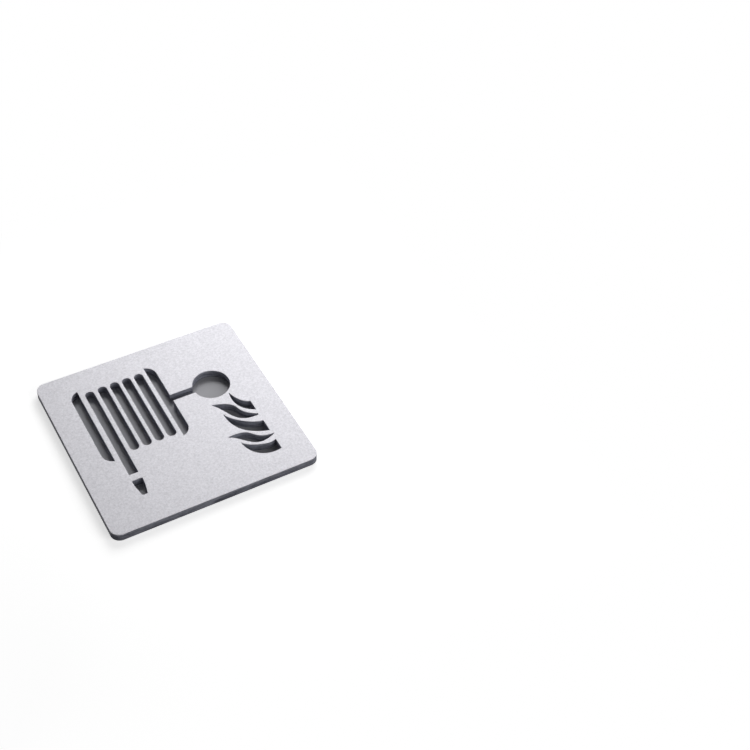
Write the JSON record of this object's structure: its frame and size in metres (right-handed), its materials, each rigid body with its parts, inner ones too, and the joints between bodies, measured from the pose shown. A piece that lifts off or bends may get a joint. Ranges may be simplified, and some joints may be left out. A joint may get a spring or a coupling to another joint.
{
  "type": "hydrant sign",
  "caption": "Square wall plate with rounded corners, with a fire hose reel, its hose and nozzle, and flames beside them cut right through as a pictogram.",
  "frame": {"origin": "centre of the plate's back face, which is the face that goes on the wall or door", "axes": "+Z out of the silver face, +Y towards the top of the sign, +X to the reader's right"},
  "size_m": [0.12, 0.12, 0.005],
  "materials": {
    "board": "satin silver face with a fine grain; the cut edges, the walls of the cut-outs and the back are charcoal"
  },
  "bodies": {
    "root": {"sign_plate": "board"}
  },
  "joints": []
}
